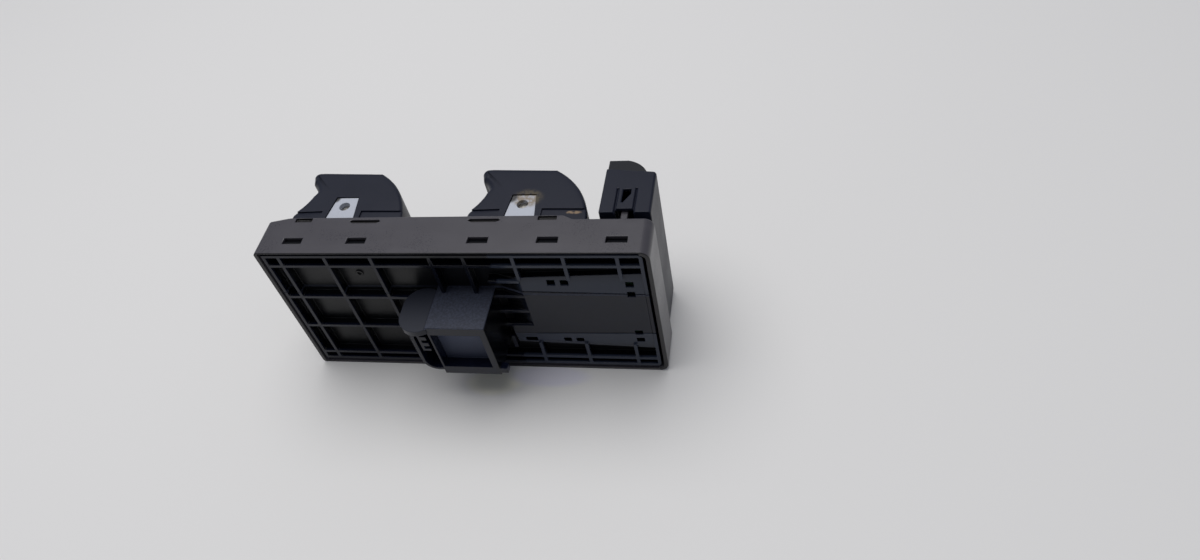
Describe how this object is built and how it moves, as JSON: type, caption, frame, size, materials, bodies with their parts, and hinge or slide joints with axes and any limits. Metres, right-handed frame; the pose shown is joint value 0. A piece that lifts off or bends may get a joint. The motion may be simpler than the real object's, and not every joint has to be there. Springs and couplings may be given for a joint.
{
  "type": "power window switch",
  "caption": "Driver's door window switch module: rocker caps on pivots and a lock button over a ribbed housing with a plug socket underneath.",
  "frame": {"origin": "middle of the housing's footprint, in the plane of its lower rim", "axes": "+X along the module towards the lock tower, +Y across it, +Z from the wiring side up to the rockers"},
  "size_m": [0.12, 0.0556, 0.0544],
  "materials": {
    "housing_plastic": "fine-grained satin moulding, dark warm grey",
    "cover_plastic": "satin black moulding",
    "cap_plastic": "soft satin bluish black",
    "button_plastic": "satin grey black",
    "carrier_plastic": "natural white acetal with some old grease",
    "pin_steel": "dull steel",
    "silicone": "translucent grey silicone",
    "board_laminate": "green solder mask on glass laminate",
    "tinned_brass": "tin-plated brass"
  },
  "bodies": {
    "module": {"housing": "housing_plastic", "bottom_cover": "cover_plastic", "circuit_board": "board_laminate", "connector_pins": "tinned_brass", "lock_tower": "cap_plastic", "lock_dome": "silicone", "pivot_pin_1": "pin_steel", "pivot_pin_2": "pin_steel", "pivot_pin_3": "pin_steel", "pivot_pin_4": "pin_steel", "dome_pad_1": "silicone", "dome_pad_2": "silicone", "dome_pad_3": "silicone", "dome_pad_4": "silicone"},
    "rocker_1": {"rocker_cap_1": "cap_plastic", "rocker_carrier_1": "carrier_plastic"},
    "rocker_2": {"rocker_cap_2": "cap_plastic", "rocker_carrier_2": "carrier_plastic"},
    "rocker_3": {"rocker_cap_3": "cap_plastic", "rocker_carrier_3": "carrier_plastic"},
    "rocker_4": {"rocker_cap_4": "cap_plastic", "rocker_carrier_4": "carrier_plastic"},
    "lock": {"lock_button": "button_plastic"}
  },
  "joints": [
    {"name": "rocker_1_tilt", "type": "hinge", "parent": "module", "child": "rocker_1", "pos_m": [-0.0407, -0.01245, 0.0249], "axis": [0, 1, 0], "range_deg": [-6, 6], "stiffness_Nm_per_rad": 0.45},
    {"name": "rocker_2_tilt", "type": "hinge", "parent": "module", "child": "rocker_2", "pos_m": [0.018, -0.01245, 0.0249], "axis": [0, 1, 0], "range_deg": [-6, 6], "stiffness_Nm_per_rad": 0.45},
    {"name": "rocker_3_tilt", "type": "hinge", "parent": "module", "child": "rocker_3", "pos_m": [-0.0407, 0.01245, 0.0249], "axis": [0, 1, 0], "range_deg": [-6, 6], "stiffness_Nm_per_rad": 0.45},
    {"name": "rocker_4_tilt", "type": "hinge", "parent": "module", "child": "rocker_4", "pos_m": [0.018, 0.01245, 0.0249], "axis": [0, 1, 0], "range_deg": [-6, 6], "stiffness_Nm_per_rad": 0.45},
    {"name": "lock_push", "type": "slide", "parent": "module", "child": "lock", "axis": [0, 0, 1], "range_m": [-0.0025, 0], "stiffness_N_per_m": 1200}
  ]
}
